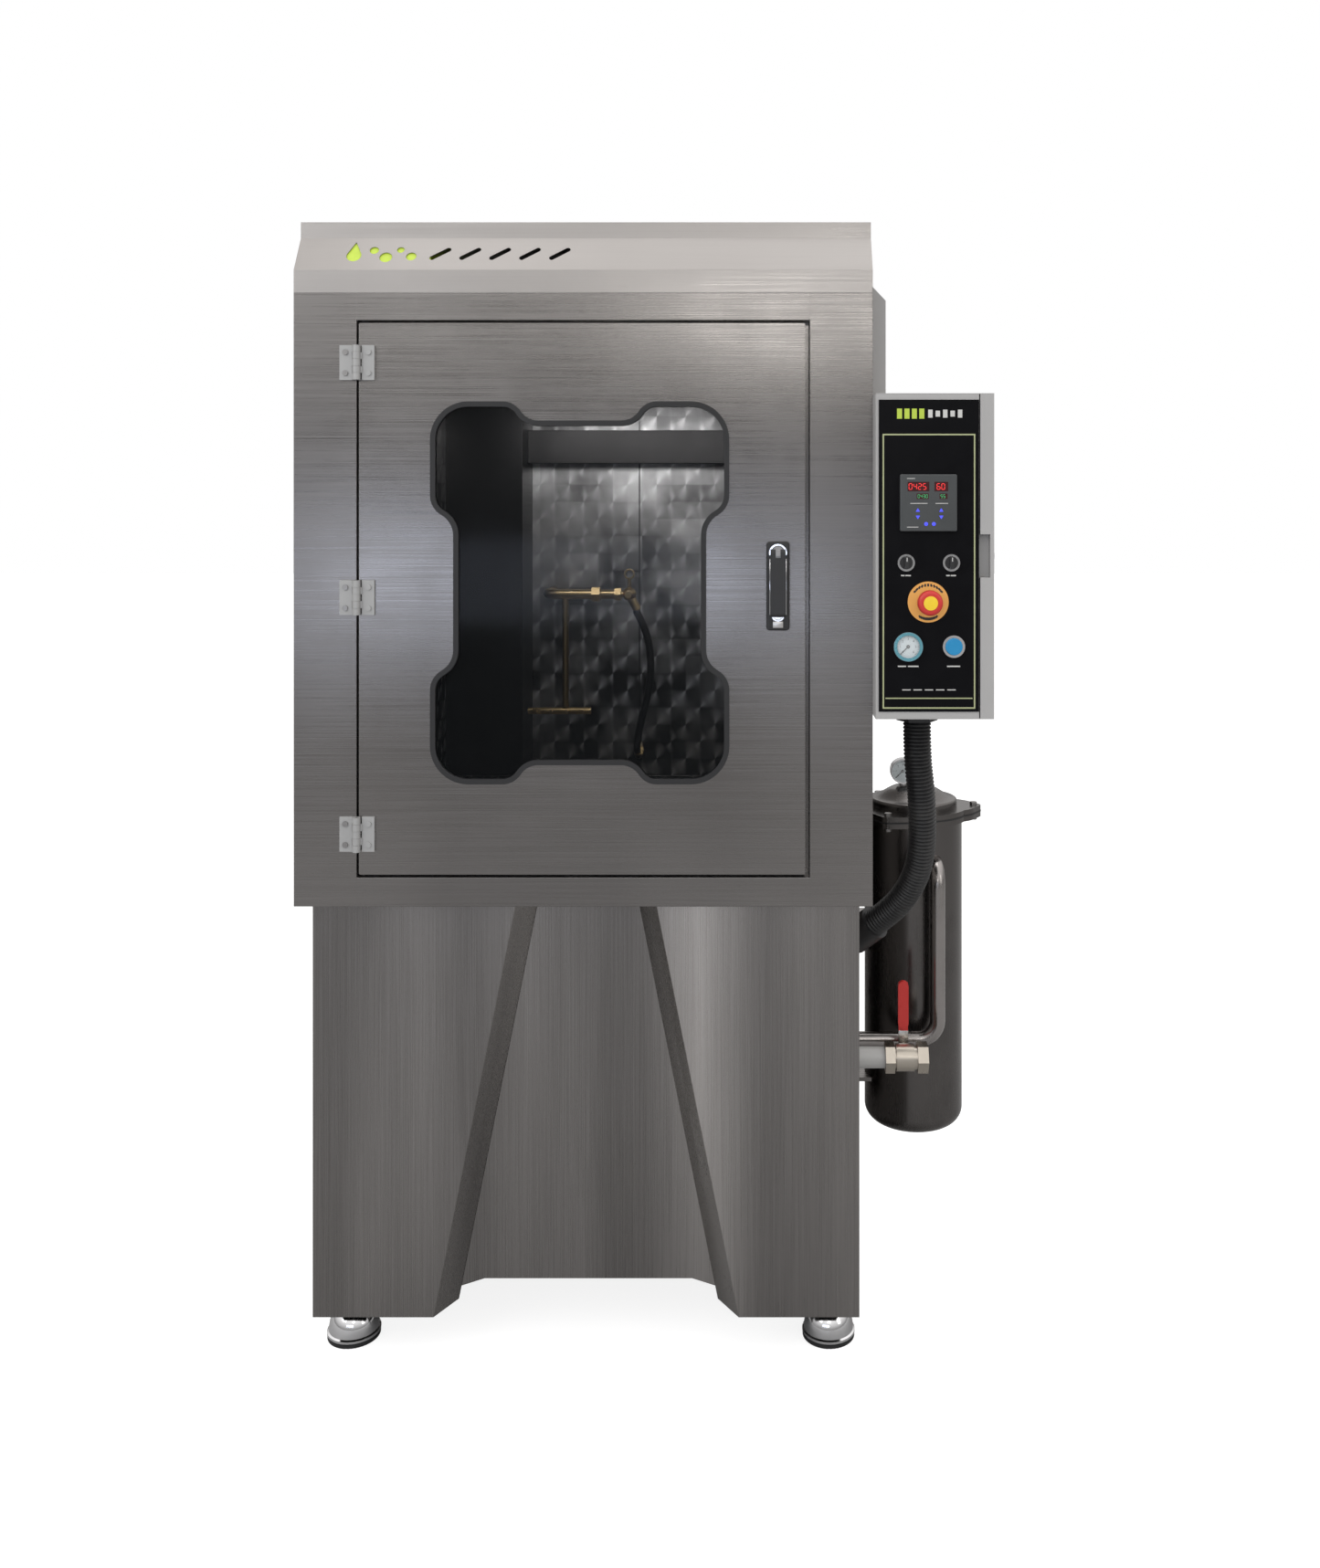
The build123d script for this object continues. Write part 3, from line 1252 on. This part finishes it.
def gauge_case(x, y, z, r, t):
    """A round gauge case open at the front, with the pointer's pivot."""
    rod(front(x, y, z), r, t)
    rod(front(x, y - t + 5, z), r - 3, 6, mode=Mode.SUBTRACT)
    rod(front(x, y - t + 6, z), 1, 4)


def gauge_needle(x, y, z, r, t):
    """A needle with its hub, standing at the low end of the scale."""
    with BuildSketch(front(x, y - t + 4.4, z)) as needle:
        Circle(3)
        with Locations((-0.28 * r, -0.28 * r)):
            Rectangle(0.8 * r, 1.4, rotation=45)
        Circle(1 + running, mode=Mode.SUBTRACT)
    extrude(needle.sketch, amount=1.2)


panel_gauge = (gauge_place[0], panel_y - seam, gauge_place[1], panel_gauge_r, 8.5)
gauge_top = dome_z + lid_rise
lid_gauge = (gauge_x, vessel_y + gauge_t / 2, gauge_top + gauge_r + 2, gauge_r, gauge_t)
with BuildPart() as gauge_cases:
    gauge_case(*panel_gauge)
    rod(front(gauge_place[0], panel_y + 30, gauge_place[1]), panel_gauge_r - 2 - gap, 30)
    gauge_case(*lid_gauge)
    rod(level(gauge_x, vessel_y, gauge_top - 13), gauge_stem_r, 17)
write(gauge_cases, "gauge_cases")

for label, gauge in (("gauge_pointer", panel_gauge), ("filter_gauge_pointer", lid_gauge)):
    with BuildPart() as pointer:
        gauge_needle(*gauge)
    write(pointer, label)

# ------------------------------------------------------- hose and its glands
with BuildPart() as cable_hose:
    hose_radii = cord_radii(hose_route)
    bend_pipe(hose_route, hose_radii, hose_r)
write(cable_hose, "cable_hose")
hose_length = cable_hose.part.volume / (pi * hose_r**2)
print("cable hose radii", [round(r) for r in hose_radii], "length", round(hose_length))

with BuildPart() as hose_glands:
    hexagon(level(hose_top[0], hose_top[1], box_z[0] - 22), 64, 22 - seam)
    hose_nipple(hose_route[-1], hose_route[-2], 31, 0, 60)
    block((-side_x, stand_x), (0, cabinet_d), (0, cabinet_z), mode=Mode.SUBTRACT)
write(hose_glands, "hose_glands")

with BuildPart() as side_duct:
    duct_x = (side_x, side_x + 32)
    duct_y = (100, 200)
    with BuildSketch(front(0, duct_y[1], 0)):
        Polygon(
            (duct_x[0], box_z[1] + seam),
            (duct_x[1], box_z[1] + seam),
            (duct_x[1], roof_z - 38),
            (duct_x[0], roof_z - 4),
            align=None,
        )
    extrude(amount=duct_y[1] - duct_y[0])
write(side_duct, "side_duct")

# ------------------------------------------------------------------ fasteners
with BuildPart() as fasteners:
    for x, z in leaf_screws(-1):
        rod(front(x, -leaf_t - seam, z), screw_head_r, screw_head_t)
        rod(front(x, 8, z), screw_r, 8 + leaf_t + 2 * seam)
    for z in hinge_z:
        rod(level(hinge_x, hinge_y, z - hinge_h / 2), hinge_pin_r, hinge_h)
    # foot lock nuts
    for x, y in foot_places:
        hexagon(level(x, y, foot_h - 8), 26, 8, foot_stem_r + running)
    # lid bolts with nuts
    for angle in ear_angles:
        x = vessel_x + ear_bolt * cos(radians(angle))
        y = vessel_y + ear_bolt * sin(radians(angle))
        nut_z = flange_z - flange_t - 7 - seam
        hexagon(level(x, y, lid_z + flange_t + seam), 13, 6)
        hexagon(level(x, y, nut_z), 13, 7)
        rod(level(x, y, nut_z), bolt_r, lid_z + flange_t - nut_z + 1)
    # rear panel screws
    for x in (-side_x + 30, 0, side_x - 30):
        for z in (cabinet_z + 30, (cabinet_z + roof_z) / 2, roof_z - 30):
            rod(front(x, cabinet_d + 3 + seam, z), 6, 3)
write(fasteners, "fasteners")
